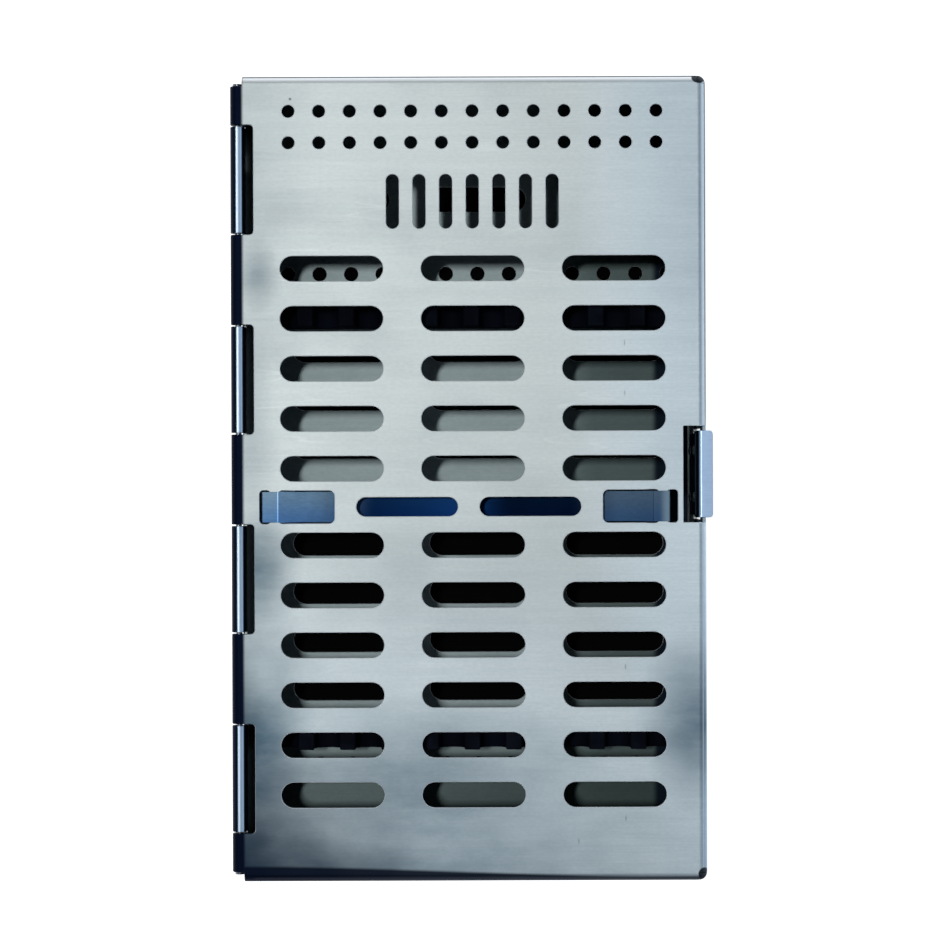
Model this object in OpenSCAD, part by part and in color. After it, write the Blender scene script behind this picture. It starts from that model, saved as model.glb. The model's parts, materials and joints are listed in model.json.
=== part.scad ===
// Perforated cassette that holds dental instruments while they are washed and sterilised:
// a sheet pan, a lid on a full-length knuckle hinge, a spring latch, two comb racks,
// a divider and a hold-down leaf spring threaded through the lid.
// X runs from the hinge to the latch, Y along the cassette, Z up. Origin under the middle.

/* [Case] */
// Length over the lid's two end flanges
case_len = 200; // [192:1:230]
// Width from the hinge barrel to the lid's front face
case_w = 118; // [114:1:140]
// Height from the underside of the pan to the lid's top face
case_h = 22; // [20:0.5:32]

/* [Sheet] */
// Sheet thickness of the lid
lid_t = 1.0; // [0.8:0.1:1.2]
// Sheet thickness of the pan
pan_t = 1.0; // [0.8:0.1:1.2]
// Outer radius of the lid's bends
lid_bend_r = 2.0; // [1.6:0.1:2.6]
// Outer radius of the pan's bottom bends
pan_bend_r = 2.5; // [2:0.1:3.5]
// Outer radius of the pan's upright corners
pan_corner_r = 3.0; // [2:0.1:4]
// Depth of the lid's flanges below its top face
flange_h = 8; // [6:0.5:10]
// Gap between the lid's flanges and the pan's walls
lid_gap = 0.3; // [0.2:0.05:0.6]
// Gap between the inside of the lid's bends and the rim of the pan
rim_gap = 0.1; // [0.05:0.05:0.3]

/* [Hinge] */
// Diameter of the hinge pin
pin_d = 1.5; // [1.2:0.1:1.8]
// Radial running clearance of the pin in the knuckles
pin_fit = 0.05; // [0.03:0.01:0.1]
// Length of the knuckle barrel
barrel_len = 195; // [180:1:195]
// Length of the lid's knuckle at either end of the barrel
end_knuckle = 10; // [8:0.5:14]
// Length of one of the pan's knuckles
pan_knuckle = 26.4; // [22:0.2:30]
// Number of pan knuckles
pan_knuckles = 4; // [3:1:5]
// Gap between neighbouring knuckles
knuckle_gap = 0.4; // [0.2:0.05:0.8]
// Clearance round the knuckles in the other sheet
knuckle_clear = 0.4; // [0.3:0.05:0.8]
// Distance from the hinge axis to the lid's cut edge at the pan's knuckles
hinge_cut = 4.0; // [3.6:0.1:5]
// Corner radius of those cuts
hinge_cut_r = 1.0; // [0.5:0.1:1.4]
// Diameter of the pin's peened heads
pin_head_d = 2.4; // [2:0.1:2.8]
// Thickness of the pin's peened heads
pin_head_t = 0.6; // [0.3:0.1:0.8]

/* [Lid openings] */
// Length of a lid slot
slot_len = 25.6; // [20:0.2:30]
// Width of a lid slot
slot_w = 6.3; // [4:0.1:8]
// Part of the case's width that its three slot columns leave over
col_rest = 13; // [8:0.5:20]
// Part of the case's length that ten pitches of its slot rows leave over
row_rest = 76; // [74:0.5:84]
// Slot rows in front of the hold-down spring
front_rows = 6; // [3:1:6]
// Slot rows behind the hold-down spring
rear_rows = 5; // [3:1:5]
// Distance from the spring's centre line to the nearest slot row
row_clear = 9.5; // [8:0.1:11]
// How far the openings lie towards the latch from the lid's middle
opening_shift = 1.1; // [0:0.1:2]
// Diameter of a round vent hole in the lid
vent_d = 3.15; // [2.5:0.05:4]
// Part of the case's width that a row of vent holes leaves over
vent_rest = 26.8; // [22:0.1:36]
// Vent holes in a row
vent_count = 13; // [9:1:13]
// Distance from the lid's rear end to the first row of vent holes
vent_edge = 8.8; // [7:0.1:12]
// Distance between the two rows of vent holes
vent_row_gap = 7.8; // [5:0.1:9]
// Length of the upright vent slots behind the slot rows
upright_len = 13.5; // [8:0.5:15]
// Width of an upright vent slot
upright_w = 3.2; // [2:0.1:4]
// Distance between upright vent slots
upright_pitch = 6.6; // [5:0.1:7.5]
// Number of upright vent slots
upright_count = 7; // [3:1:9]
// Distance from the lid's rear end to the middle of the upright vent slots
upright_edge = 31.2; // [30:0.1:33]

/* [Hold-down spring] */
// Offset of the spring's centre line from the middle of the length
spring_y = -6.9; // [-9:0.1:-4]
// Width of the spring strip
spring_w = 7.6; // [6:0.1:9]
// Thickness of the spring strip
spring_t = 0.5; // [0.3:0.05:0.6]
// Depth of the bow below the strip's seats on the lid
spring_bow = 7.0; // [5:0.1:8]
// How far short of a window's outer edge the bowed stretch ends
spring_short = 0.95; // [0.85:0.05:1.2]
// Length of the flat stretch on either seat
spring_seat = 3.8; // [3.4:0.1:3.9]
// Length of the tails that hook down through the lid
spring_tail = 2.6; // [2:0.1:3.5]
// How far the strip has slid towards the hinge
spring_slide = 0.7; // [0.3:0.05:0.8]
// Side clearance of the strip in its windows
spring_clear = 0.3; // [0.2:0.05:0.5]
// Gap between the strip and its seats
spring_seat_gap = 0.05; // [0.02:0.01:0.1]
// Length of a window
window_len = 14.15; // [12:0.05:16]
// Distance from the lid's edge to the outer edge of a window
window_edge = 11.55; // [11:0.05:13]
// Width of the bridge that carries the strip
bridge_w = 1.8; // [1.5:0.05:1.85]
// Width of the slit beyond the bridge
slit_w = 2.6; // [2.4:0.1:3.2]
// Corner radius of the windows
window_r = 1.4; // [0.5:0.1:2]
// Corner radius of the slits
slit_r = 0.9; // [0.3:0.1:1]
// Width of the three lands beside the two slots over the bow
bow_land = 5.4; // [4:0.1:8]
// Width of the two slots over the bow
bow_slot_w = 4.8; // [3:0.1:6]

/* [Latch] */
// Offset of the latch from the middle of the length
latch_y = 1.0; // [-4:0.1:6]
// Width of the latch
latch_w = 21.6; // [18:0.1:26]
// How far the lip stands out from the lid's front face
lip_out = 1.65; // [1:0.05:2.2]
// Sheet thickness of the lip
lip_t = 0.8; // [0.6:0.1:1]
// Depth of the lip's top face below the lid's top face
lip_drop = 1.0; // [0.8:0.1:1.4]
// Outer radius of the lip's bend
lip_bend_r = 1.3; // [1:0.1:1.6]
// Corner radius of the lip seen from above
lip_corner_r = 0.9; // [0.4:0.1:1.5]
// Length of the lip's leg from its top face down
lip_leg = 8.5; // [7:0.1:9.5]
// Thickness of the spring leaf
leaf_t = 0.4; // [0.3:0.05:0.5]
// How much narrower than the lip the leaf is
leaf_inset = 1.2; // [0.5:0.1:3]
// Height of the leaf's lower edge above the table
leaf_z = 3.4; // [3.2:0.1:3.8]
// Height of the line that the leaf flexes about
flex_z = 8.6; // [8.4:0.1:9]
// Gap between the foot and the leaf's rounded end, where it flexes
flex_gap = 0.1; // [0.06:0.02:0.2]
// Gap between the leaf and the pan's wall
leaf_gap = 0.05; // [0.02:0.01:0.1]
// Height of the lower edge of the gate in the pan's front wall
gate_z = 9.5; // [9.2:0.1:11]
// Side clearance of the lip in the gate
gate_clear = 0.5; // [0.3:0.1:1]
// Width of the notch in the lid
notch_w = 24; // [23.2:0.1:28]
// Depth of the notch from the lid's front face
notch_in = 5.8; // [5.6:0.1:7]
// Gap between the lip and the flange's edge that it holds down
catch_gap = 0.35; // [0.2:0.05:0.5]
// Distance between the two rivets of a pair
latch_rivet_pitch = 11.8; // [9:0.1:14]
// Distance of the rivets in the lip below its top face
lip_rivet_drop = 3.4; // [3.2:0.1:6]
// Height of the rivets in the leaf's foot
foot_rivet_z = 6.0; // [5.6:0.1:6.4]

/* [Rivets] */
// Diameter of the rivet shanks
rivet_d = 1.6; // [1.2:0.1:2]
// Diameter of the domed rivet heads
rivet_head_d = 3.0; // [2.4:0.1:3.2]
// Height of the domed rivet heads
rivet_head_h = 0.5; // [0.3:0.05:0.6]
// Diameter of the flush rivet tails under the pan
rivet_sink_d = 3.2; // [2.4:0.1:3.6]
// Depth of the flush rivet tails under the pan
rivet_sink_h = 0.6; // [0.4:0.05:0.7]
// Radial clearance of the rivets in their holes
rivet_fit = 0.02; // [0:0.01:0.05]
// Height of the rivets' flattened tails on the latch
rivet_tail_h = 0.3; // [0.2:0.05:0.35]
// Diameter of the rivets' flattened tails on the latch
rivet_tail_d = 2.4; // [2:0.1:3]

/* [Pan floor] */
// Length of a floor slot
floor_slot_len = 24.8; // [20:0.2:28]
// Part of the pan's width that its three slot columns leave over
floor_col_rest = 9.1; // [5:0.1:14]
// How far the floor's openings lie off the pan's middle, towards the latch
floor_shift = 1.5; // [0:0.1:2]
// Floor slot rows between the racks
floor_rows = 8; // [4:2:8]
// Diameter of a floor hole
floor_hole_d = 3.5; // [2.5:0.1:4.5]
// Part of the pan's width that a row of floor holes leaves over
floor_hole_rest = 16.9; // [12:0.1:30]
// Floor holes in a row
floor_holes = 13; // [9:1:13]
// Distance from a rack's centre line to its row of floor holes
floor_hole_out = 9.8; // [8:0.1:12]
// Distance from either end of the instrument bay to its last slot row
end_row_in = 5.6; // [4.6:0.1:8]

/* [Racks and divider] */
// Distance from a rack's centre line to the nearest floor slot row
rack_row_gap = 9.6; // [9:0.1:12]
// Gap between a rack's ends and the pan's walls
rack_gap = 2.05; // [1.6:0.05:6]
// Width of the steel rail
rail_w = 8; // [7:0.1:8.5]
// Height of the steel rail
rail_h = 4.5; // [4:0.1:5.5]
// Sheet thickness of the rail
rail_t = 0.8; // [0.6:0.1:1]
// Width of the rail's in-turned lips
rail_lip = 1.8; // [1.6:0.1:2]
// Clearance of the comb's foot in the rail
comb_fit = 0.1; // [0.05:0.05:0.2]
// Width of the comb above the rail
comb_w = 9.2; // [8:0.1:10]
// Height of the comb's top above the table
comb_top = 16.5; // [14:0.1:17.5]
// Number of instrument places
places = 10; // [6:1:11]
// Distance from a comb's end to the middle of its first place
place_end = 7.2; // [5:0.1:9]
// Width of an instrument place
place_w = 6.4; // [5:0.1:7.2]
// Depth of an instrument place
place_depth = 6.6; // [5:0.1:7.5]
// Distance between the rail's rivets
rail_rivet_pitch = 46; // [30:1:48]
// Clear length of the accessory bay at the rear end
accessory_len = 19.7; // [15:0.1:22]
// Sheet thickness of the divider
divider_t = 0.8; // [0.6:0.1:1]
// Height of the divider's top above the table
divider_top = 17; // [14:0.1:18]
// Width of the divider's foot
divider_foot = 6; // [5:0.1:8]
// Outer radius of the divider's bend
divider_bend_r = 1.6; // [1.2:0.1:2]
// Gap between the divider's ends and the bends of the pan
divider_gap = 0.2; // [0.1:0.1:1]

/* [Hidden] */
$fn = 64;
eps = 0.01;
over = 1;

// Where the hinge, the lid's faces and the pan's faces lie.
bore_r = pin_d / 2 + pin_fit;
lid_barrel_r = bore_r + lid_t;
pan_barrel_r = bore_r + pan_t;
left_x = -(case_w + lip_out) / 2;
axis_x = left_x + max(lid_barrel_r, pan_barrel_r);
axis_z = case_h - lid_barrel_r;
front_x = left_x + case_w;
lid_mid_x = (left_x + front_x) / 2;
opening_x = lid_mid_x + opening_shift;
lid_end = case_len / 2;
lid_under = case_h - lid_t;
hem_x = axis_x + bore_r + knuckle_clear;

// The rim stays under the inside of the lid's bends.
lid_inner_r = lid_bend_r - lid_t;
bend_over = max(lid_inner_r - lid_gap, 0);
bend_room = lid_inner_r - sqrt(lid_inner_r * lid_inner_r - bend_over * bend_over);
pan_h = lid_under - bend_room - rim_gap;
pan_x0 = axis_x + bore_r;
pan_x1 = front_x - lid_t - lid_gap;
pan_w = pan_x1 - pan_x0;
pan_x = (pan_x0 + pan_x1) / 2;
pan_end = lid_end - lid_t - lid_gap;
pan_in = pan_end - pan_t;
wall_in_x = pan_x1 - pan_t;
low_wall_z = axis_z - lid_barrel_r - knuckle_clear;

// The pitches of the openings, from the width or length that they fill.
col_pitch = (case_w - col_rest) / 3;
row_pitch = (case_len - row_rest) / 10;
vent_pitch = (case_w - vent_rest) / (vent_count - 1);
window_out = case_w / 2 - window_edge;
window_in = window_out - window_len;
bow_slot_len = window_in - 1.5 * bow_land;
bow_slot_x = (bow_land + bow_slot_len) / 2;
floor_x = pan_x + floor_shift;
floor_col_pitch = (pan_w - floor_col_rest) / 3;
floor_hole_pitch = (pan_w - floor_hole_rest) / (floor_holes - 1);

// The barrel: a lid knuckle at either end, pan and lid knuckles in turn between them.
lid_knuckle = (barrel_len - 2 * end_knuckle - pan_knuckles * pan_knuckle) / (pan_knuckles - 1);
knuckle_step = pan_knuckle + lid_knuckle;
function pan_knuckle_y(i) = (i - (pan_knuckles - 1) / 2) * knuckle_step;

// The bays: the divider stands in front of the accessory bay.
divider_y = pan_in - accessory_len - divider_t;
bay_y = (divider_y - pan_in) / 2;
rack_span = (floor_rows - 1) * row_pitch + 2 * rack_row_gap;
rack_ys = [bay_y + rack_span / 2, bay_y - rack_span / 2];
rack_len = pan_w - 2 * pan_t - 2 * rack_gap;
place_pitch = (rack_len - 2 * place_end) / (places - 1);
floor_z = pan_t;
rail_top = floor_z + rail_h;

// The latch: the leaf hangs just inside the pan's front wall and carries the lip.
leaf_x = wall_in_x - leaf_gap;
leaf_mid_x = leaf_x - leaf_t / 2;
lip_top = case_h - lip_drop;
lip_tip_x = front_x + lip_out;
lip_leg_z = lip_top - lip_leg;
lip_rivet_z = lip_top - lip_rivet_drop;
catch_z = lip_top - lip_t - catch_gap;
leaf_top = lip_top - lip_bend_r - leaf_gap;
leaf_w = latch_w - leaf_inset;

// The spring strip's arc and seats, about its own middle.
spring_reach = window_out - spring_short;
strip_x = lid_mid_x - spring_slide;
strip_z = case_h + spring_seat_gap + spring_t / 2;
arc_r = (spring_reach * spring_reach + spring_bow * spring_bow) / (2 * spring_bow);

module stadium(l, w) {
    square([l - w, w], center = true);
    for (s = [-1, 1]) translate([s * (l - w) / 2, 0]) circle(d = w);
}

module rounded_rect(l, w, r) {
    square([l - 2 * r, w], center = true);
    square([l, w - 2 * r], center = true);
    for (sx = [-1, 1], sy = [-1, 1])
        translate([sx * (l / 2 - r), sy * (w / 2 - r)]) circle(r);
}

// A row of like shapes along X.
module in_row(count, pitch) {
    for (i = [0 : count - 1]) translate([(i - (count - 1) / 2) * pitch, 0]) children();
}

// The section of a sheet that turns down at its edge: the bend starts at the origin.
module hem_section(h, t, r) {
    intersection() {
        translate([0, -r]) difference() {
            circle(r);
            circle(r - t);
        }
        translate([0, -r]) square(r);
    }
    translate([r - t, -h]) square([t, h - r]);
}

// A block with round lower edges and upright corners, standing on the origin.
module trough_section(w, h, r) {
    translate([-w / 2, r]) square([w, h - r]);
    translate([r - w / 2, 0]) square([w - 2 * r, h]);
    for (s = [-1, 1]) translate([s * (w / 2 - r), r]) circle(r);
}

module trough(w, l, h, r, corner_r) {
    intersection() {
        translate([0, l / 2, 0]) rotate([90, 0, 0]) linear_extrude(l) trough_section(w, h, r);
        translate([-w / 2, 0, 0]) rotate([90, 0, 90]) linear_extrude(w) trough_section(l, h, r);
        linear_extrude(h) rounded_rect(w, l, corner_r);
    }
}

module along_y(r, l) {
    rotate([90, 0, 0]) cylinder(r = r, h = l, center = true);
}

// A domed cap that rises from the origin along Z.
module dome(d, h) {
    cap_r = (d * d / 4 + h * h) / (2 * h);
    intersection() {
        translate([0, 0, h - cap_r]) sphere(cap_r);
        cylinder(d = d, h = h + eps);
    }
}

// A rivet through a foot or rail and the pan's floor: domed above, flush below.
module floor_rivet(grip) {
    cylinder(d1 = rivet_sink_d, d2 = rivet_d, h = rivet_sink_h);
    cylinder(d = rivet_d, h = grip + eps);
    translate([0, 0, grip]) dome(rivet_head_d, rivet_head_h);
}

module floor_rivet_hole() {
    translate([0, 0, -over]) cylinder(r = rivet_d / 2 + rivet_fit, h = pan_t + rail_t + 3 * over);
    cylinder(r1 = rivet_sink_d / 2 + rivet_fit, r2 = rivet_d / 2 + rivet_fit, h = rivet_sink_h);
}

module rail_rivet_places(y) {
    for (i = [-1 : 1]) translate([pan_x + i * rail_rivet_pitch, y, 0]) children();
}

module divider_rivet_places() {
    foot_mid = divider_y + divider_t + (divider_foot - divider_t) / 2 + divider_bend_r / 4;
    for (i = [-1 : 1]) translate([pan_x + i * rail_rivet_pitch, foot_mid, 0]) children();
}

// A rivet through the latch's leaf and what lies outside it: its head faces the inside.
module latch_rivets(z, grip) {
    for (s = [-1, 1])
        translate([leaf_x - leaf_t, latch_y + s * latch_rivet_pitch / 2, z]) {
            rotate([0, 90, 0]) cylinder(d = rivet_d, h = grip + eps);
            rotate([0, -90, 0]) dome(rivet_head_d, rivet_head_h);
            translate([grip, 0, 0]) rotate([0, 90, 0]) dome(rivet_tail_d, rivet_tail_h);
        }
}

module latch_rivet_holes(z) {
    for (s = [-1, 1])
        translate([leaf_x - leaf_t - over, latch_y + s * latch_rivet_pitch / 2, z])
            rotate([0, 90, 0]) cylinder(r = rivet_d / 2 + rivet_fit, h = pan_t + leaf_t + 2 * over);
}

// The pan's floor openings.
module floor_openings() {
    for (i = [0 : floor_rows - 1])
        translate([floor_x, bay_y + (i - (floor_rows - 1) / 2) * row_pitch])
            in_row(3, floor_col_pitch) stadium(floor_slot_len, slot_w);
    for (y = [divider_y - end_row_in, end_row_in - pan_in])
        translate([floor_x, y]) in_row(3, floor_col_pitch) stadium(floor_slot_len, slot_w);
    for (s = [-1, 1])
        translate([floor_x, bay_y + s * (rack_span / 2 + floor_hole_out)])
            in_row(floor_holes, floor_hole_pitch) circle(d = floor_hole_d);
}

module base_pan() {
    color("lightsteelblue") difference() {
        union() {
            difference() {
                translate([pan_x, 0, 0]) trough(pan_w, 2 * pan_end, pan_h, pan_bend_r, pan_corner_r);
                translate([pan_x, 0, floor_z])
                    trough(pan_w - 2 * pan_t, 2 * pan_in, pan_h, pan_bend_r - pan_t,
                        pan_corner_r - pan_t);
                translate([0, 0, -over]) linear_extrude(pan_t + 2 * over) floor_openings();
                // The hinge wall stops at the axis, and lower down beside the lid's knuckles.
                translate([left_x, -pan_in, low_wall_z])
                    cube([pan_x0 + pan_t + knuckle_clear - left_x, 2 * pan_in, pan_h]);
                // The gate that the latch's lip swings through.
                translate([wall_in_x - over, latch_y - latch_w / 2 - gate_clear, gate_z])
                    cube([pan_t + 2 * over, latch_w + 2 * gate_clear, pan_h]);
            }
            for (i = [0 : pan_knuckles - 1]) {
                translate([pan_x0, pan_knuckle_y(i) - pan_knuckle / 2, low_wall_z - eps])
                    cube([pan_t, pan_knuckle, axis_z - low_wall_z + eps]);
                translate([axis_x, pan_knuckle_y(i), axis_z]) along_y(pan_barrel_r, pan_knuckle);
            }
        }
        translate([axis_x, 0, axis_z]) along_y(bore_r, barrel_len);
        for (y = rack_ys) rail_rivet_places(y) floor_rivet_hole();
        divider_rivet_places() floor_rivet_hole();
        latch_rivet_holes(foot_rivet_z);
    }
}

module hinge_pin() {
    color("silver") translate([axis_x, 0, axis_z]) {
        along_y(pin_d / 2, barrel_len + 2 * eps);
        for (s = [-1, 1])
            translate([0, s * (barrel_len + pin_head_t) / 2 + s * eps, 0])
                along_y(pin_head_d / 2, pin_head_t);
    }
}

// A steel C-rail and the rubber comb that is slid into it.
module rail(y) {
    inner_w = rail_w - 2 * rail_t;
    color("silver") difference() {
        translate([pan_x - rack_len / 2, y, floor_z]) rotate([90, 0, 90]) linear_extrude(rack_len)
            difference() {
                translate([-rail_w / 2, 0]) square([rail_w, rail_h]);
                translate([-inner_w / 2, rail_t]) square([inner_w, rail_h - 2 * rail_t]);
                translate([rail_lip - rail_w / 2, rail_t]) square([rail_w - 2 * rail_lip, rail_h]);
            }
        rail_rivet_places(y) floor_rivet_hole();
    }
}

module comb(y) {
    inner_w = rail_w - 2 * rail_t - 2 * comb_fit;
    neck_w = rail_w - 2 * rail_lip - 2 * comb_fit;
    foot_z = floor_z + rail_t + rivet_head_h + comb_fit;
    color("midnightblue") difference() {
        translate([pan_x - rack_len / 2, y, 0]) rotate([90, 0, 90]) linear_extrude(rack_len) {
            translate([-inner_w / 2, foot_z]) square([inner_w, rail_top - rail_t - comb_fit - foot_z]);
            translate([-neck_w / 2, foot_z]) square([neck_w, rail_top - foot_z + eps]);
            translate([-comb_w / 2, rail_top]) square([comb_w, comb_top - rail_top]);
        }
        translate([pan_x, y, comb_top - place_depth + place_w / 2])
            for (i = [0 : places - 1]) translate([(i - (places - 1) / 2) * place_pitch, 0, 0]) {
                along_y(place_w / 2, comb_w + 2 * over);
                translate([-place_w / 2, -comb_w / 2 - over, 0])
                    cube([place_w, comb_w + 2 * over, place_depth]);
            }
    }
}

module rail_rivets(y) {
    color("gainsboro") rail_rivet_places(y) floor_rivet(pan_t + rail_t);
}

module rear_rail() rail(rack_ys[0]);
module rear_comb() comb(rack_ys[0]);
module rear_rail_rivets() rail_rivets(rack_ys[0]);
module front_rail() rail(rack_ys[1]);
module front_comb() comb(rack_ys[1]);
module front_rail_rivets() rail_rivets(rack_ys[1]);

module divider_wall() {
    divider_len = pan_w - 2 * pan_bend_r - 2 * divider_gap;
    r = divider_bend_r;
    color("lightsteelblue") difference() {
        translate([pan_x - divider_len / 2, divider_y, floor_z]) rotate([90, 0, 90])
            linear_extrude(divider_len) {
                translate([0, r]) square([divider_t, divider_top - floor_z - r]);
                translate([r, 0]) square([divider_foot - r, divider_t]);
                intersection() {
                    translate([r, r]) difference() {
                        circle(r);
                        circle(r - divider_t);
                    }
                    square(r);
                }
            }
        divider_rivet_places() floor_rivet_hole();
    }
}

module divider_rivets() {
    color("gainsboro") divider_rivet_places() floor_rivet(pan_t + divider_t);
}

// The latch's spring leaf, in two nodes that meet at the line it flexes about.
module leaf(z0, z1) {
    translate([leaf_x - leaf_t, latch_y - leaf_w / 2, z0]) cube([leaf_t, leaf_w, z1 - z0]);
}

module latch_foot() {
    color("slategray") difference() {
        leaf(leaf_z, flex_z - leaf_t / 2 - flex_gap);
        latch_rivet_holes(foot_rivet_z);
    }
}

module latch_foot_rivets() {
    color("gainsboro") latch_rivets(foot_rivet_z, leaf_t + leaf_gap + pan_t);
}

module latch_blade() {
    color("slategray") difference() {
        union() {
            leaf(flex_z, leaf_top);
            translate([leaf_mid_x, latch_y, flex_z]) along_y(leaf_t / 2, leaf_w);
        }
        latch_rivet_holes(lip_rivet_z);
    }
}

module latch_lip() {
    r = lip_bend_r;
    color("slategray") difference() {
        intersection() {
            translate([leaf_x, latch_y + latch_w / 2, 0]) rotate([90, 0, 0]) linear_extrude(latch_w) {
                translate([0, lip_leg_z]) square([lip_t, lip_top - r - lip_leg_z]);
                translate([r, lip_top - lip_t]) square([lip_tip_x - leaf_x - r, lip_t]);
                intersection() {
                    translate([r, lip_top - r]) difference() {
                        circle(r);
                        circle(r - lip_t);
                    }
                    translate([0, lip_top - r]) square(r);
                }
            }
            translate([lip_tip_x - latch_w / 2, latch_y, lip_leg_z - over])
                linear_extrude(case_h) rounded_rect(latch_w, latch_w, lip_corner_r);
        }
        latch_rivet_holes(lip_rivet_z);
    }
}

module latch_lip_rivets() {
    color("gainsboro") latch_rivets(lip_rivet_z, leaf_t + lip_t);
}

// Every opening through the lid's top face.
module lid_openings() {
    for (i = [0 : front_rows - 1])
        translate([opening_x, spring_y - row_clear - i * row_pitch])
            in_row(3, col_pitch) stadium(slot_len, slot_w);
    for (i = [0 : rear_rows - 1])
        translate([opening_x, spring_y + row_clear + i * row_pitch])
            in_row(3, col_pitch) stadium(slot_len, slot_w);
    for (i = [0, 1])
        translate([opening_x, lid_end - vent_edge - i * vent_row_gap])
            in_row(vent_count, vent_pitch) circle(d = vent_d);
    translate([opening_x, lid_end - upright_edge])
        in_row(upright_count, upright_pitch) rotate(90) stadium(upright_len, upright_w);
    window_w = spring_w + 2 * spring_clear;
    for (s = [-1, 1]) translate([lid_mid_x, spring_y]) {
        translate([s * bow_slot_x, 0]) stadium(bow_slot_len, bow_slot_w);
        translate([s * (window_in + window_out) / 2, 0])
            rounded_rect(window_out - window_in, window_w, window_r);
        translate([s * (window_out + bridge_w + slit_w / 2), 0])
            rounded_rect(slit_w, window_w, slit_r);
    }
}

// The lid's flat blank between the bends, with tongues that run on to the hinge barrel.
module lid_blank() {
    flat_end = lid_end - lid_bend_r;
    difference() {
        translate([hem_x, -flat_end]) square([front_x - lid_bend_r - hem_x, 2 * flat_end]);
        for (i = [0 : pan_knuckles - 1])
            translate([axis_x, pan_knuckle_y(i)])
                rounded_rect(2 * hinge_cut, pan_knuckle + 2 * knuckle_gap, hinge_cut_r);
        lid_openings();
    }
    difference() {
        translate([axis_x, -barrel_len / 2]) square([hem_x + eps - axis_x, barrel_len]);
        for (i = [0 : pan_knuckles - 1])
            translate([axis_x, pan_knuckle_y(i)])
                square([2 * hinge_cut, pan_knuckle + 2 * knuckle_gap], center = true);
    }
}

module lid_panel() {
    relief = lid_bend_r;
    end_hem_len = front_x - relief - hem_x;
    front_hem_len = 2 * (lid_end - relief);
    color("gainsboro") difference() {
        union() {
            translate([0, 0, lid_under]) linear_extrude(lid_t) lid_blank();
            for (s = [0, 1]) mirror([0, s, 0])
                translate([hem_x, lid_end - lid_bend_r, case_h]) rotate([90, 0, 90])
                    linear_extrude(end_hem_len) hem_section(flange_h, lid_t, lid_bend_r);
            translate([front_x - lid_bend_r, front_hem_len / 2, case_h]) rotate([90, 0, 0])
                linear_extrude(front_hem_len) hem_section(flange_h, lid_t, lid_bend_r);
            difference() {
                translate([axis_x, 0, axis_z]) along_y(lid_barrel_r, barrel_len);
                for (i = [0 : pan_knuckles - 1])
                    translate([axis_x, pan_knuckle_y(i), axis_z])
                        cube([4 * lid_barrel_r, pan_knuckle + 2 * knuckle_gap, 4 * lid_barrel_r],
                            center = true);
            }
        }
        translate([axis_x, 0, axis_z]) along_y(bore_r, barrel_len + 2 * over);
        // The notch above the latch; the flange runs on below it.
        translate([front_x - notch_in, latch_y - notch_w / 2, catch_z])
            cube([notch_in + over, notch_w, case_h]);
    }
}

// The strip's section: an arc between two seats, each with a tail that turns down.
module strip_section() {
    inner_r = arc_r - spring_t / 2;
    seat_end = spring_reach + spring_seat;
    intersection() {
        translate([0, arc_r - spring_bow]) difference() {
            circle(inner_r + spring_t, $fn = 360);
            circle(inner_r, $fn = 360);
        }
        translate([-spring_reach, -2 * spring_bow]) square([2 * spring_reach, 4 * spring_bow]);
    }
    for (s = [0, 1]) mirror([s, 0]) {
        translate([spring_reach, -spring_t / 2]) square([spring_seat, spring_t]);
        translate([seat_end - spring_t / 2, -spring_tail]) square([spring_t, spring_tail]);
        for (x = [spring_reach, seat_end]) translate([x, 0]) circle(d = spring_t);
    }
}

module hold_down_spring() {
    color("steelblue") translate([strip_x, spring_y + spring_w / 2, strip_z])
        rotate([90, 0, 0]) linear_extrude(spring_w) strip_section();
}

base_pan();
hinge_pin();
rear_rail();
rear_comb();
rear_rail_rivets();
front_rail();
front_comb();
front_rail_rivets();
divider_wall();
divider_rivets();
latch_foot();
latch_foot_rivets();
lid_panel();
hold_down_spring();
latch_blade();
latch_lip();
latch_lip_rivets();
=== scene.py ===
# %% [markdown]
# # A cassette for dental instruments
# The object is a flat box of punched stainless sheet: a pan, a lid on a long hinge, a spring
# latch, a leaf spring threaded through the lid, and two racks with rubber combs. The frame
# that is loaded here holds every part at its true size and place, in metres. This lesson
# dresses that frame: it softens the cut edges, gives each part its finish, and lights it.
import json
import math
import bmesh
import bpy
from mathutils import Matrix, Vector

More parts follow.
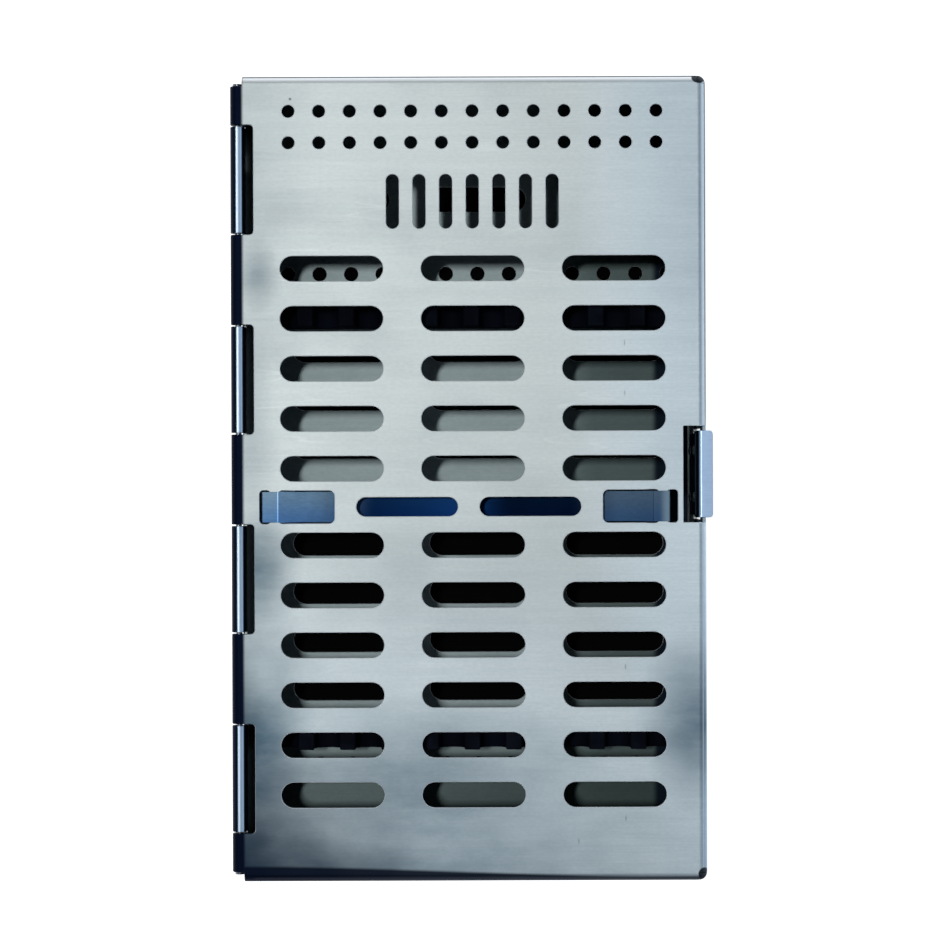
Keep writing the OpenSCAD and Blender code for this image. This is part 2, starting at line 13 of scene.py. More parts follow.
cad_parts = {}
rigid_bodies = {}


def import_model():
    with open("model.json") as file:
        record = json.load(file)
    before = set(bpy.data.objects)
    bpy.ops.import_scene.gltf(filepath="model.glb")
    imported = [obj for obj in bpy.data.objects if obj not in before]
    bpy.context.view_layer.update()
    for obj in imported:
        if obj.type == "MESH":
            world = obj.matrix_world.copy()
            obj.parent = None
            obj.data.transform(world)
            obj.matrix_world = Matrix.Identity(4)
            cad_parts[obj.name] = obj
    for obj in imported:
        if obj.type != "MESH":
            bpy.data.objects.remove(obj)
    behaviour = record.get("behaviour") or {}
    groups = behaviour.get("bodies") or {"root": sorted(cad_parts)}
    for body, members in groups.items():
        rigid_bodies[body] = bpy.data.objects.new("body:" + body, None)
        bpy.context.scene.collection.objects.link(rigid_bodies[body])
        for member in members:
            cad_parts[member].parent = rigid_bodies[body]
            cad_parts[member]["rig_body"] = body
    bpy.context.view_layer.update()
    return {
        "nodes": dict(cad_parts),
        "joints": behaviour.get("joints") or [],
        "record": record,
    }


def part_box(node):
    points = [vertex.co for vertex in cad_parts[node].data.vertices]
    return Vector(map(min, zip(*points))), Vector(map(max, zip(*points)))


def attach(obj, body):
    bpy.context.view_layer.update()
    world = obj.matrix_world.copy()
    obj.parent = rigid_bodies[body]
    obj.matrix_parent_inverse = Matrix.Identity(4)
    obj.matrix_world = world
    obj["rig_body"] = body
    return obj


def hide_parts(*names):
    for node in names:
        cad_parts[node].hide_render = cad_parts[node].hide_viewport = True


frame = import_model()

# %% [markdown]
# ## A few sizes
# The hinge line and the parts' faces are asked of the frame, so that stains, seams and bends
# land where the parts really are. One millimetre is named once and used all through.

# %% Sizes
MM = 0.001
PIVOTS = {joint["name"]: Vector(joint["pos_m"]) for joint in frame["joints"]}
hinge, latch = PIVOTS["lid_hinge"], PIVOTS["latch_flex"]
lid_low, lid_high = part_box("lid_panel")
pan_low, pan_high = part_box("base_pan")
comb_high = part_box("rear_comb")[1]
strip_low, strip_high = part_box("hold_down_spring")
print("hinge at", [round(value, 4) for value in hinge])

# %% [markdown]
# ## The camera
# The photograph looks almost straight down on the closed lid from about 0.6 m, with a long
# lens. The camera stands a little towards the latch, turned by a hair, because the rows of
# slots climb slightly to the right in the picture.

# %% Camera
CAMERA_PLACE = (0.00602, 0.00105, 0.612)
CAMERA_TURN = (-0.233, -0.045, -0.187)  # degrees
camera_data = bpy.data.cameras.new("copy_stand_lens")
camera_data.sensor_width = 36
camera_data.lens = 91.15
camera_data.shift_x = -0.03
camera_data.shift_y = 0.015
camera = bpy.data.objects.new("copy_stand", camera_data)
camera.location = CAMERA_PLACE
camera.rotation_euler = [math.radians(turn) for turn in CAMERA_TURN]
bpy.context.scene.collection.objects.link(camera)
bpy.context.scene.camera = camera
print("camera height", camera.location.z)

# %% [markdown]
# ## Nodes as plain sums
# A brushed finish is arithmetic on a few noises. It could be wired by hand in the editor, but
# then it is hard to read back. This small class wraps a socket, so that `1 - mask` or
# `grain * 0.3` adds the Math node by itself.

# %% Wires
class Wire:
    """One socket of a finish that takes part in sums."""

    def __init__(self, graph, socket):
        self.graph, self.socket = graph, socket

    def sum(self, operation, *values):
        return self.graph.node("ShaderNodeMath", {"operation": operation}, dict(enumerate(values)))

    def __add__(self, other):
        return self.sum("ADD", self, other)

    def __sub__(self, other):
        return self.sum("SUBTRACT", self, other)

    def __rsub__(self, other):
        return self.sum("SUBTRACT", other, self)

    def __mul__(self, other):
        return self.sum("MULTIPLY", self, other)

    def __abs__(self):
        return self.sum("ABSOLUTE", self)

    def above(self, other):
        return self.sum("MAXIMUM", self, other)

    __radd__, __rmul__ = __add__, __mul__


# %% [markdown]
# ## One method for every other node
# A graph is the nodes of one material, or of the room round the table. Its method `node` takes
# a node's type, its settings and its sockets. The others name what they are used for here: a
# noise, a smooth ramp, a ramp measured in millimetres from a line of the part, a tint by a
# mask, and a relief.

# %% Graphs and finishes
class Graph:
    """The nodes of a material or of the room round the table."""

    def __init__(self, owner, shader):
        owner.use_nodes = True
        self.tree = owner.node_tree
        self.shader = self.tree.nodes[shader]

    def node(self, kind, settings=None, inputs=None, output=0):
        made = self.tree.nodes.new(kind)
        for key, value in (settings or {}).items():
            setattr(made, key, value)
        for key, value in (inputs or {}).items():
            self.feed(made.inputs[key], value)
        return Wire(self, made.outputs[output])

    def feed(self, socket, value):
        if isinstance(value, Wire):
            self.tree.links.new(value.socket, socket)
        else:
            socket.default_value = value

    def place(self, output="Object"):
        return self.node("ShaderNodeTexCoord", output=output)

    def axes(self, vector):
        split = self.node("ShaderNodeSeparateXYZ", inputs={0: vector})
        return [Wire(self, socket) for socket in split.socket.node.outputs]

    def noise(self, stretch, detail=2.0, turn=0.0, shift=0.0, rough=0.5):
        where = self.node("ShaderNodeMapping", inputs={
            "Vector": self.place(), "Scale": stretch, "Location": (shift, shift, shift),
            "Rotation": (0, 0, math.radians(turn))})
        return self.node("ShaderNodeTexNoise", inputs={
            "Vector": where, "Scale": 1.0, "Detail": detail, "Roughness": rough})

    def ramp(self, value, low, high, start=0.0, end=1.0):
        return self.node("ShaderNodeMapRange", {"interpolation_type": "SMOOTHSTEP"},
                         {0: value, 1: low, 2: high, 3: start, 4: end})

    def span(self, axis, line, near, far, start=0.0, end=1.0):
        """A ramp along an axis between two distances from a line, in millimetres."""
        return self.ramp(axis, line + near * MM, line + far * MM, start, end)

    def tint(self, mask, first, second, blend="MIX"):
        return self.node("ShaderNodeMix", {"data_type": "RGBA", "blend_type": blend},
                         {0: mask, 6: first, 7: second}, output=2)

    def relief(self, height, depth, strength=1.0, normal=None):
        inputs = {"Height": height, "Distance": depth, "Strength": strength}
        if normal:
            inputs["Normal"] = normal
        return self.node("ShaderNodeBump", inputs=inputs)

    def set(self, **values):
        for key, value in values.items():
            self.feed(self.shader.inputs[key.replace("_", " ")], value)


class Finish(Graph):
    """One material."""

    def __init__(self, name):
        self.material = bpy.data.materials.new(name)
        super().__init__(self.material, "Principled BSDF")


# %% [markdown]
# ## Brushed sheet
# The sheet was drawn under a belt, so its grain runs along X on the flat faces, and along Y on
# the two long walls. An image of scratches would blur or repeat here. Stretched noises stay
# sharp at any distance and follow each part. Two make the grain. A third, cut at its middle
# value, leaves thin wandering contours, which are the hairline scratches of years in a
# steriliser.

# %% Grain and scratches
STREAK, PITCH = 70.0, 2200.0  # steps of the noise in a metre, along the grain and across it


def brushed(finish):
    along = finish.noise((STREAK, PITCH, PITCH), detail=3)
    across = finish.noise((PITCH, STREAK, PITCH), detail=3)
    facing = finish.axes(finish.place("Normal"))[0]
    long_wall = finish.ramp(abs(facing), 0.6, 0.8)
    return along + (across - along) * long_wall


def scratches(finish, turn, shift, width=0.008):
    line = finish.noise((12.0, 190.0, 190.0), detail=1.5, turn=turn, shift=shift)
    thin = finish.ramp(abs(line - 0.5), 0.0, width, 1.0, 0.0)
    sparse = finish.ramp(finish.noise((38, 38, 38), 1, shift=shift + 4), 0.52, 0.62)
    return thin * sparse


print("grain steps", STREAK, PITCH)

# %% [markdown]
# ## One recipe for all the steel
# Every steel part mixes a light and a dark tone by its grain, with a haze and fine specks on
# top. A slow noise tilts the surface by a degree or so, as thin sheet does after punching, and
# gives the reflections their soft blotches. A slow wave in the mesh could do that too, but it
# would move the edges that have to fit.

# %% Brushed steel
SHEET_GRAIN = 0.000006
FINE_GRAIN = 0.000003


def steel(name, light, dark, roughness, wave, grain_depth=SHEET_GRAIN):
    finish = Finish(name)
    grain = brushed(finish)
    broad = finish.noise((16.0, 420.0, 420.0), detail=3, shift=2.0)
    marks = scratches(finish, 6, 1.3).above(scratches(finish, -12, 7.7)).above(
        scratches(finish, 74, 3.1, width=0.007) * 0.6)
    smudge = finish.noise((30.0, 42.0, 42.0), detail=4, shift=5.0)
    haze = finish.ramp(smudge, 0.45, 0.75)
    streaked = finish.ramp(grain * 0.65 + broad * 0.35, 0.30, 0.70, 0.48, 1.0)
    colour = finish.tint(streaked, dark, light)
    speck = finish.ramp(finish.noise((900, 1500, 1500), detail=3, shift=6.0), 0.30, 0.70)
    colour = finish.tint(haze * 0.15 + speck * 0.32, colour, dark)
    colour = finish.tint(marks * 0.15, colour, light)
    slow = finish.noise((14.0, 17.0, 17.0), detail=1, shift=9.0)
    normal = finish.relief(slow, wave)
    normal = finish.relief(grain + broad * 0.5 - marks * 0.3, grain_depth, 1.0, normal)
    worn = grain * 0.08 + haze * 0.03 - marks * 0.02 + (roughness - 0.03)
    finish.set(Metallic=1.0, Normal=normal, Base_Color=colour, Roughness=worn)
    return finish, colour, worn


LIGHT = (0.66, 0.71, 0.72, 1)
SHADE = (0.50, 0.56, 0.58, 1)
lid_steel, lid_colour, _ = steel("lid_steel", LIGHT, SHADE, 0.52, 0.0007)
lid_x, lid_y, lid_z = lid_steel.axes(lid_steel.place())
print("nodes of the bare lid steel", len(lid_steel.tree.nodes))

# %% [markdown]
# ## Where the lid is stained and shaded
# The lid is darker and bluer in a few soft patches, most along the hinge side and the front
# end, and nearly black at its front corner by the hinge. They are part stain, where drops dried
# on the sheet, and part painted shade: the dark reflections that a slightly wavy sheet shows
# near its bends. Each patch is an ellipse on the lid with its edge broken up by a noise. They
# could be painted on an image, but ellipses in millimetres stay true to the part. The thin ones
# are nicks.

# %% Marks in millimetres
# Soft patches, part stain and part painted shade of the dark reflections near the bends.
STAIN_AND_SHADE_MARKS = [  # middle x, y and half width x, y, then how dark
    (-53, 51, 7, 12, 0.50), (-54, -23, 12, 18, 0.80), (-55, -68, 20, 40, 0.88),
    (-62, -104, 60, 36, 0.95), (-5, -106, 70, 34, 0.70), (55, -60, 13, 22, 0.76),
    (60, 70, 26, 60, 0.20), (-55, 12, 7, 34, 0.32), (-14, -80, 56, 30, 0.62),
    (-30, -106, 60, 34, 0.72), (-60, 70, 22, 60, 0.20), (2, -28, 60, 36, 0.16),
]
# Painted shade at the front corner by the hinge and along the hinge side, a dot, and the nicks.
SHADE_AND_NICK_MARKS = [(-62, -104, 52, 40, 0.97), (-61, -72, 10, 42, 0.80), (-44.8, 94.2, 0.4, 0.4, 0.9)]
NICKS = [(37.9, 33.6), (37.9, 21.2), (37.9, -46.7), (37.9, -67.4), (37.9, -84.3), (26.2, -90.0)]
SHADE_AND_NICK_MARKS += [(x, y, 0.25, 0.9, 0.4) for x, y in NICKS]
# Painted shade at the two closed corners on the latch side.
CORNER_SHADE_SPOTS = [(56.4, 99.2, 2.2, 1.7, 1.0), (57.2, -98.2, 1.8, 2.0, 1.0)]
print("marks on the lid", len(STAIN_AND_SHADE_MARKS) + len(SHADE_AND_NICK_MARKS) + len(CORNER_SHADE_SPOTS))


# %% Ellipses
def ellipses(finish, marks, fray):
    stain = None
    for x, y, half_x, half_y, darkness in marks:
        stretch = Vector((1 / (half_x * MM), 1 / (half_y * MM), 0))
        spot = finish.node("ShaderNodeMapping", inputs={
            "Vector": finish.place(), "Scale": stretch,
            "Location": (-x * MM * stretch.x, -y * MM * stretch.y, 0)})
        reach = finish.node("ShaderNodeVectorMath", {"operation": "LENGTH"}, {0: spot}, output=1)
        mark = finish.ramp(reach + fray, 0.0, 1.25, darkness, 0.0)
        stain = mark if stain is None else stain.above(mark)
    return stain


# %% Stains, painted shade and nicks on the lid
STAIN_AND_SHADE_BLUE = (0.08, 0.14, 0.185, 1)
SHADE_AND_NICK_BLUE = (0.010, 0.020, 0.038, 1)
ragged = lid_steel.noise((45, 60, 60), detail=4, shift=12) - 0.5
cloudy = lid_steel.noise((60, 150, 150), detail=5, shift=15, rough=0.6)
# Darker, bluer patches: part stain, part painted shade.
stain_and_shade = ellipses(lid_steel, STAIN_AND_SHADE_MARKS, ragged * 0.6)
stain_and_shade = stain_and_shade * lid_steel.ramp(cloudy, 0.25, 0.75, 0.84, 1.14)
lid_colour = lid_steel.tint(stain_and_shade, lid_colour, STAIN_AND_SHADE_BLUE)
# Near-black painted shade, and the nicks.
shade_and_nicks = ellipses(lid_steel, SHADE_AND_NICK_MARKS, ragged * 0.4)
lid_colour = lid_steel.tint(shade_and_nicks, lid_colour, SHADE_AND_NICK_BLUE)
print("nodes of the stained lid steel", len(lid_steel.tree.nodes))

# %% [markdown]
# ## Underside, flanges and bends
# The lid's underside is painted darker, as shade, so that less light bounces from it into the
# pan. The flanges get painted shade too, and towards the latch and the front end the steel gets a
# painted blue reflection, brighter and cooler. The bend at the rear end gets a painted highlight,
# and the one on the latch side grey-blue painted shade.
# Separate materials would leave hard borders, so each shade is a ramp from a face of the lid.

# %% Shades of the lid's faces
UNDERSIDE = (0.60, 0.64, 0.63, 1)
BLUE_REFLECTION_TINT = (1.08, 1.14, 1.22, 1)
BEND_HIGHLIGHT = (0.95, 0.98, 1.0, 1)
FLANGE_SHADE = (0.62, 0.64, 0.66, 1)
BEND_SHADE = (0.48, 0.54, 0.62, 1)


def inner_box(finish, low, high, wall=0.9 * MM):
    """1 on what lies inside the walls of a box, 0 on its outer faces."""
    mask = None
    for where, start, end in zip(finish.axes(finish.place()), low, high):
        half = (end - start) / 2
        side = finish.span(abs(where - (start + half)), half - wall, 0, 0.3, 1.0, 0.0)
        mask = side if mask is None else mask * side
    return mask


# Painted shade: the underside is painted darker.
lid_under = inner_box(lid_steel, (hinge.x, lid_low.y, lid_low.z - 5 * MM), lid_high)
lid_colour = lid_steel.tint(lid_under, lid_colour, UNDERSIDE, "MULTIPLY")
# Painted blue reflection, brighter towards the front end and the latch.
blue_reflection = lid_steel.span(lid_y, 0, -95, 10, 0.8, 0.0).above(lid_steel.span(lid_x, 0, 15, 56))
lid_colour = lid_steel.tint(blue_reflection, lid_colour, BLUE_REFLECTION_TINT, "MULTIPLY")
bend_zone = lid_steel.span(lid_z, lid_high.z, -2.2, -1.2)
# Painted highlight along the rear bend.
rear_bend = lid_steel.span(lid_y, lid_high.y, -1.7, -1.2) * bend_zone
lid_colour = lid_steel.tint(rear_bend, lid_colour, BEND_HIGHLIGHT)
# Painted shade on the flanges.
flange = lid_steel.span(lid_z, lid_high.z, -2.6, -1.4, 1.0, 0.0)
lid_colour = lid_steel.tint(flange, lid_colour, FLANGE_SHADE, "MULTIPLY")
# Painted shade on the bend along the latch side.
latch_bend = lid_steel.span(lid_x, lid_high.x, -1.6, -0.8)
latch_bend = latch_bend * lid_steel.span(lid_y, 0, -90, 60, 0.95, 0.0)
lid_colour = lid_steel.tint(latch_bend, lid_colour, BEND_SHADE, "MULTIPLY")
print("lid flanges", round((lid_high.z - lid_low.z) / MM, 1), "mm deep")

# %% [markdown]
# ## Rims, painted highlights and shaded corners
# Three thin details make the sheet look cut and folded: a dark line of painted shade along the
# outer rim of two bends, a painted highlight round every opening, and painted shade where the
# corners were closed. The highlight could be a thin strip of mesh, but the bevel is there
# already, and its slanting normal is the mask. The hinge side, rolled round the pin, gets dark
# blue painted shade, and the shade reaches along the front end, widest by the hinge.

# %% Lines and corners of the lid
RIM_SHADE = (0.03, 0.05, 0.07, 1)
BEVEL_HIGHLIGHT = (0.95, 0.98, 1.0, 1)
CORNER_SHADE = (0.010, 0.018, 0.026, 1)
HINGE_SHADE_BLUE = (0.003, 0.006, 0.018, 1)


def slanting(finish, amount):
    """The bevels that face up at a slant."""
    return finish.ramp(finish.axes(finish.place("Normal"))[2], 0.80, 0.97, amount, 0.0)


# Painted shade: a dark line along the rims of the rear and latch-side bends.
latch_rim = lid_steel.span(lid_x, lid_high.x, -0.50, -0.30) * lid_steel.span(lid_y, 0, 0, 20)
rim_shade_line = lid_steel.span(lid_y, lid_high.y, -0.65, -0.40).above(latch_rim) * bend_zone
lid_colour = lid_steel.tint(rim_shade_line * 0.9, lid_colour, RIM_SHADE)
# Painted highlight on the upward slanting bevels round the openings.
bevel_highlight_line = lid_steel.span(lid_z, lid_high.z, -0.4, -0.3) * slanting(lid_steel, 0.55)
bevel_highlight_line = bevel_highlight_line * lid_steel.span(lid_x, hinge.x, 3.0, 4.5)
lid_colour = lid_steel.tint(bevel_highlight_line, lid_colour, BEVEL_HIGHLIGHT)
# Painted shade, nearly black, at the two closed corners.
corner_shade_mask = lid_steel.ramp(ellipses(lid_steel, CORNER_SHADE_SPOTS, ragged * 0.9), 0.35, 0.50, 0.0, 0.95)
lid_colour = lid_steel.tint(corner_shade_mask, lid_colour, CORNER_SHADE)
# Painted shade on the hinge side and along the front bend, widest by the hinge.
shade_reach = lid_steel.span(lid_x, 0, -58, 45, 2.6 * MM, 0.0)
front_bend_shade = lid_steel.span(lid_y - shade_reach, lid_low.y, 0.9, 1.8, 0.95, 0.0) * bend_zone
rolled = lid_steel.span(lid_x, hinge.x, 0.9, 1.8, 1.0, 0.0).above(front_bend_shade)
lid_steel.set(Base_Color=lid_steel.tint(rolled, lid_colour, HINGE_SHADE_BLUE))
print("nodes of the finished lid steel", len(lid_steel.tree.nodes))

# %% [markdown]
# ## The pan's shaded inside
# The pan's inside is painted a little darker than its outer walls, as shade, and its floor gets
# more painted shade: darkest towards the latch, at the front end and along its two long sides,
# where it is near black. Two materials on one sheet would meet in a hard line, so a mask of the
# inner box tells them apart.

# %% Inside of the pan
INSIDE_SHADE = (0.85, 0.92, 0.94, 1)
FLOOR_SHADE = (0.11, 0.16, 0.15, 1)
SIDE_SHADOW = (0.02, 0.03, 0.05, 1)
FLOOR_EDGE_HIGHLIGHT = (0.80, 0.85, 0.84, 1)
pan_steel, pan_colour, pan_worn = steel(
    "pan_steel", (0.36, 0.40, 0.41, 1), (0.25, 0.29, 0.30, 1), 0.36, 0.0006)
pan_x, pan_y, pan_z = pan_steel.axes(pan_steel.place())
rail_low, rail_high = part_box("rear_rail")
hinge_wall = rail_low.x + rail_high.x - pan_high.x
inner = inner_box(pan_steel, (hinge_wall + 1 * MM, pan_low.y, pan_low.z),
                  (pan_high.x - 1 * MM, pan_high.y, pan_high.z + 5 * MM))
# Painted shade on the floor towards the front end, the latch and the hinge side.
front_floor_shade = pan_steel.span(pan_y, 0, -78, -60, 1.0, 0.0)
front_floor_shade = front_floor_shade * pan_steel.span(pan_x, 0, -45, 45, 0.66, 0.93)
floor_shade_mask = pan_steel.span(pan_x, 0, 12, 32, 0.0, 0.80).above(
    pan_steel.span(pan_x, 0, -50, -22, 0.16, 0.0)).above(front_floor_shade)
inside_shade_tone = pan_steel.tint(floor_shade_mask, INSIDE_SHADE, FLOOR_SHADE)
# Near-black painted shadow along the floor's two long sides.
side_shadow_mask = pan_steel.span(pan_x, 0, 45.5, 47.5).above(
    pan_steel.span(pan_x, hinge.x, 5.5, 7.0, 1.0, 0.0))
inside_shade_tone = pan_steel.tint(side_shadow_mask, inside_shade_tone, SIDE_SHADOW)
pan_colour = pan_steel.tint(inner, pan_colour, inside_shade_tone, "MULTIPLY")
# Painted highlight on the slanting edges of the floor's openings.
floor_top = pan_steel.span(pan_z, 0, 0.72, 0.82) * pan_steel.span(pan_z, 0, 1.0, 1.1, 1.0, 0.0)
floor_edge_highlight_mask = inner * floor_top * slanting(pan_steel, 0.85)
pan_colour = pan_steel.tint(floor_edge_highlight_mask, pan_colour, FLOOR_EDGE_HIGHLIGHT)
print("pan inside", round((pan_high.x - hinge_wall) / MM - 2, 1), "mm wide")

# %% [markdown]
# ## Gate and knuckles of the pan
# The wall round the gate behind the latch gets dark painted shade. The pan's knuckles get a
# painted highlight along their top and painted shade on both sides of it, where the round
# barrel turns away. Knuckles and wall are one sheet, so masks round the hinge line and the latch
# find them.

# %% Gate and knuckles
GATE_SHADE = (0.008, 0.016, 0.022, 1)
KNUCKLE_HIGHLIGHT = (0.64, 0.79, 0.98, 1)
KNUCKLE_SIDE_SHADE = (0.005, 0.009, 0.022, 1)
# Painted shade in the gate behind the latch.
gate = pan_steel.span(pan_x, 0, 52, 53) * pan_steel.span(
    abs(pan_y - latch.y), 0, 13.5, 14.5, 1.0, 0.0) * pan_steel.span(pan_z, 0, 12, 14)
pan_colour = pan_steel.tint(gate, pan_colour, GATE_SHADE)
barrel = pan_steel.span(pan_x, hinge.x, 2.2, 2.5, 1.0, 0.0)
barrel = barrel * pan_steel.span(pan_z, hinge.z, -2.3, -1.7)
# Painted highlight along the knuckles' top.
pan_colour = pan_steel.tint(barrel, pan_colour, KNUCKLE_HIGHLIGHT)
# Painted shade on both sides of the knuckles.
shaded_knuckle_sides = pan_steel.span(pan_x, hinge.x, -0.45, -0.05, 1.0, 0.0).above(
    pan_steel.span(pan_x, hinge.x, 0.95, 1.25)) * barrel
pan_steel.set(Base_Color=pan_steel.tint(shaded_knuckle_sides, pan_colour, KNUCKLE_SIDE_SHADE),
              Roughness=pan_worn + inner * 0.16 + barrel * 0.10)
print("nodes of the pan steel", len(pan_steel.tree.nodes))

# %% [markdown]
# ## Rails, pin and rivets
# These are the same recipe with other tones: the rails clean, the pin dark, the rivets bright
# and smooth, as pressing leaves them. Recipes of their own would look foreign beside the sheet
# that they hold.

# %% Small steel parts
rail_steel, _, _ = steel("rail_steel", (0.55, 0.60, 0.61, 1), (0.40, 0.45, 0.47, 1), 0.32, 0.0003)
pin_steel, _, _ = steel("pin_steel", (0.22, 0.24, 0.27, 1), (0.12, 0.14, 0.17, 1), 0.28, 0.0001)
rivet_steel, _, _ = steel("rivet_steel", (0.72, 0.76, 0.80, 1), (0.48, 0.54, 0.60, 1), 0.25, 0.0001)
print("steels so far", len(bpy.data.materials))

# %% [markdown]
# ## Spring steel
# The hold-down strip is rolled spring stock: harder than the sheet, with a finer grain, and its
# blue tone is a painted blue reflection. Along its bow it gets deep blue painted shade, it is
# darker from the middle to the latch and at its hinge end, and its latch end, where it lies on
# the lid, gets a paler painted highlight. One plain blue would look like plastic. The tones
# change along the strip, so ramps along X make them, and one across it gives its front edge
# bluer painted shade.

# %% Strip
BOW_SHADE_BLUE = (0.006, 0.034, 0.115, 1)
BLACK = (0, 0, 0, 1)
FRONT_SHADE_BLUE = (0.35, 0.60, 0.95, 1)
LIT_END_TONE = (0.17, 0.25, 0.33, 1)
# The blue of these tones is a painted blue reflection.
spring_steel, spring_colour, _ = steel(
    "spring_steel", (0.40, 0.64, 0.90, 1), (0.26, 0.44, 0.66, 1), 0.45, 0.0002, FINE_GRAIN)
along_bow, across_bow, _ = spring_steel.axes(spring_steel.place())
# Deep blue painted shade along the bow, where it dips under the lid.
bow_shade = spring_steel.span(abs(along_bow), 0, 24, 42, 1.0, 0.0).above(
    spring_steel.span(along_bow, 0, 0, 12, 0.0, 0.55))
spring_colour = spring_steel.tint(bow_shade, spring_colour, BOW_SHADE_BLUE)
# Painted shade from the middle to the latch and at the hinge end.
bright = spring_steel.span(along_bow, 0, -6, 10, 1.0, 0.13) + spring_steel.span(
    along_bow, 0, 26, 38, 0.0, 0.25)
bright = bright * spring_steel.span(along_bow, 0, -48.35, -48.1, 0.32, 1.0)
spring_colour = spring_steel.tint(bright, BLACK, spring_colour)
# Bluer painted shade along the front side.
front_side_shade = spring_steel.ramp(across_bow, strip_low.y, strip_high.y, 0.8, 0.0)
spring_colour = spring_steel.tint(front_side_shade, spring_colour, FRONT_SHADE_BLUE, "MULTIPLY")
# Painted highlight at the latch end, where the strip lies on the lid.
lit_end = spring_steel.span(along_bow, 0, 46.2, 48.4, 0.0, 0.8)
spring_steel.set(Base_Color=spring_steel.tint(lit_end, spring_colour, LIT_END_TONE))
print("strip", round((strip_high.x - strip_low.x) / MM, 1), "mm long")

# %% [markdown]
# ## Latch
# The latch is the same spring stock, with the same painted blue reflection. Its lip keeps the
# bright tone, and its leaf inside the pan gets dark painted shade. One ramp along X parts the two.

# %% Latch steel
LEAF_SHADE = (0.008, 0.014, 0.022, 1)
# The blue of these tones is a painted blue reflection.
latch_steel, latch_colour, _ = steel(
    "latch_steel", (0.38, 0.52, 0.74, 1), (0.30, 0.42, 0.62, 1), 0.36, 0.0001, FINE_GRAIN)
latch_x = latch_steel.axes(latch_steel.place())[0]
# Painted shade on the leaf inside the pan.
inside = latch_steel.span(latch_x, 0, 56.3, 56.6, 1.0, 0.0)
latch_steel.set(Base_Color=latch_steel.tint(inside, latch_colour, LEAF_SHADE))
print("latch at", [round(value, 4) for value in latch])

# %% [markdown]
# ## Silicone
# The combs are moulded in dark blue rubber. It is matt, slightly speckled by the mould's
# spark-eroded skin, and paler where wet instruments rub its upper edges. Light that enters
# real rubber spreads in it, but in one this dark none comes back, so a plain surface will do.

# %% Silicone
RUBBER_DARK = (0.001, 0.002, 0.006, 1)
RUBBER_LIGHT = (0.003, 0.005, 0.013, 1)
RUBBER_RUBBED = (0.02, 0.026, 0.045, 1)
comb_silicone = Finish("comb_silicone")
skin = comb_silicone.noise((2600, 2600, 2600), detail=2)
cloud = comb_silicone.noise((60, 60, 60), detail=4, shift=3)
comb_z = comb_silicone.axes(comb_silicone.place())[2]
rubbed = comb_silicone.span(comb_z, comb_high.z, -1.2, 0) * comb_silicone.ramp(cloud, 0.42, 0.64)
comb_colour = comb_silicone.tint(comb_silicone.ramp(cloud, 0.35, 0.7), RUBBER_DARK, RUBBER_LIGHT)
comb_silicone.set(
    Base_Color=comb_silicone.tint(rubbed * 0.4, comb_colour, RUBBER_RUBBED),
    Specular_IOR_Level=0.08, Roughness=cloud * 0.15 + 0.72,
    Normal=comb_silicone.relief(skin, 0.00003, 0.6))
print("comb's upper edge at", round(comb_high.z / MM, 1), "mm")

# %% [markdown]
# ## Which part takes which finish
# The frame's record names a material slot for every part, so a part finds its finish by that
# name. Only the latch differs: its slot is the strip's, but its steel is its own.

# %% Finishes by slot
FINISHES = {
    "pan_steel": pan_steel, "lid_steel": lid_steel, "rail_steel": rail_steel,
    "spring_steel": spring_steel, "pin_steel": pin_steel, "rivet_steel": rivet_steel,
    "comb_silicone": comb_silicone,
}
SLOT = {part["node"]: part["material_slot"] for part in frame["record"]["subparts"]}
print("finishes", sorted(FINISHES))

# %% [markdown]
# ## Softened edges
# A punched sheet has no razor edge: tumbling leaves a small flat round every opening, which
# catches the light as a thin line. A Bevel node would fake it in the shader, but the exported
# mesh would stay sharp. So each part is copied, merged and cleaned of the seams between
# coplanar triangles, and its outward edges are bevelled. Curved faces are shaded smooth and
# real edges stay sharp.

# %% Copy a part
WELD = 0.002 * MM
FLAT = math.radians(0.3)
ROUNDED = math.radians(32)
CUT_EDGE = math.radians(50)


def merged_copy(node):
    shape = bmesh.new()
    shape.from_mesh(frame["nodes"][node].data)
    bmesh.ops.remove_doubles(shape, verts=shape.verts, dist=WELD)
    bmesh.ops.dissolve_limit(shape, angle_limit=FLAT, verts=shape.verts,
                             edges=shape.edges, delimit=set())
    return shape


def outward_edges(shape):
    return [edge for edge in shape.edges
            if len(edge.link_faces) == 2 and edge.calc_face_angle_signed() > CUT_EDGE]


print("edges turned outwards by over", round(math.degrees(CUT_EDGE)), "degrees are bevelled")


# %% Finish a piece
def finish_piece(shape, name, node, finish=None, stands_in=True):
    """The piece rides with its node's body, and stands in for the node if it is its copy."""
    for edge in shape.edges:
        edge.smooth = len(edge.link_faces) == 2 and edge.calc_face_angle() < ROUNDED
    for face in shape.faces:
        face.smooth = True
    mesh = bpy.data.meshes.new(name)
    shape.to_mesh(mesh)
    shape.free()
    piece = bpy.data.objects.new(name, mesh)
    bpy.context.scene.collection.objects.link(piece)
    mesh.materials.append((finish or FINISHES[SLOT[node]]).material)
    keep_flat = piece.modifiers.new("keep_flat", "WEIGHTED_NORMAL")
    keep_flat.keep_sharp = True
    keep_flat.weight = 100
    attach(piece, frame["nodes"][node]["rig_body"])
    if stands_in:
        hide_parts(node)
    print(name, len(mesh.polygons), "faces")


def dress(node, name, width, segments=1, finish=None):
    shape = merged_copy(node)
    bmesh.ops.bevel(shape, geom=outward_edges(shape), offset=width * MM, offset_type="OFFSET",
                    segments=segments, profile=0.5, affect="EDGES", clamp_overlap=False,
                    material=-1)
    finish_piece(shape, name, node, finish)


# %% [markdown]
# ## The parts
# Sheet gets a small flat of about an eighth of a millimetre, rails and the divider the same,
# the rubber a real rounding, and the thin spring parts the least. Widths are in millimetres.

